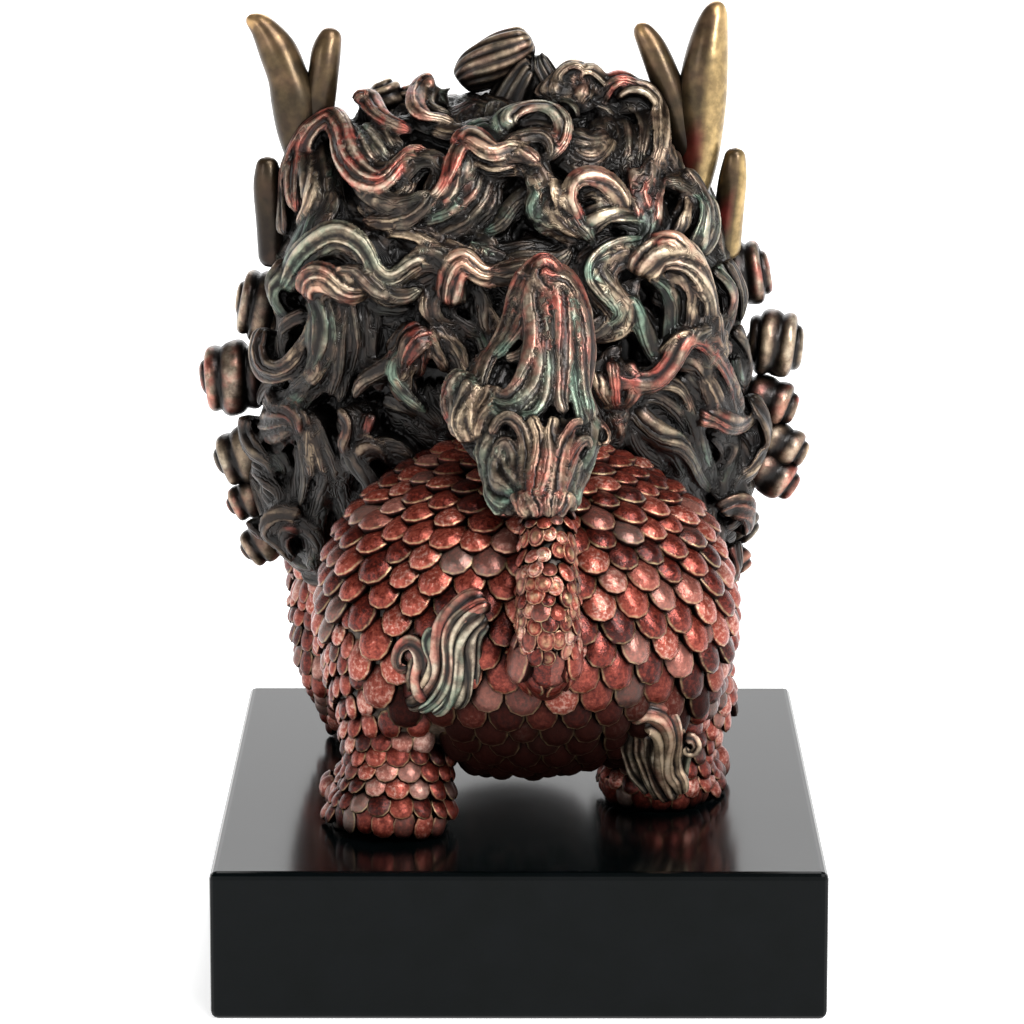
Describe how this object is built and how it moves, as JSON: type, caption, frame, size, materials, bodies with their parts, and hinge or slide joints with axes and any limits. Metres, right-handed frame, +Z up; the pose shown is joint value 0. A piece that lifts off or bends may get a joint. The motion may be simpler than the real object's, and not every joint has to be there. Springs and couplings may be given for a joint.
{
  "type": "qilin statue",
  "caption": "Standing qilin with a great curled mane, branching horns, scaled body and a plumed tail, on a plain black rectangular plinth",
  "frame": {"origin": "middle of the plinth's underside", "axes": "+Z is up; the beast looks along -Y and shows its tail along +Y; +X is its left side"},
  "size_m": [0.1383, 0.1721, 0.2054],
  "materials": {
    "figure": "cold-cast bronze resin, copper-red scales and dark patinated hair, satin",
    "plinth": "black lacquer, gloss"
  },
  "bodies": {
    "root": {"qilin": "figure", "plinth": "plinth"}
  },
  "joints": []
}
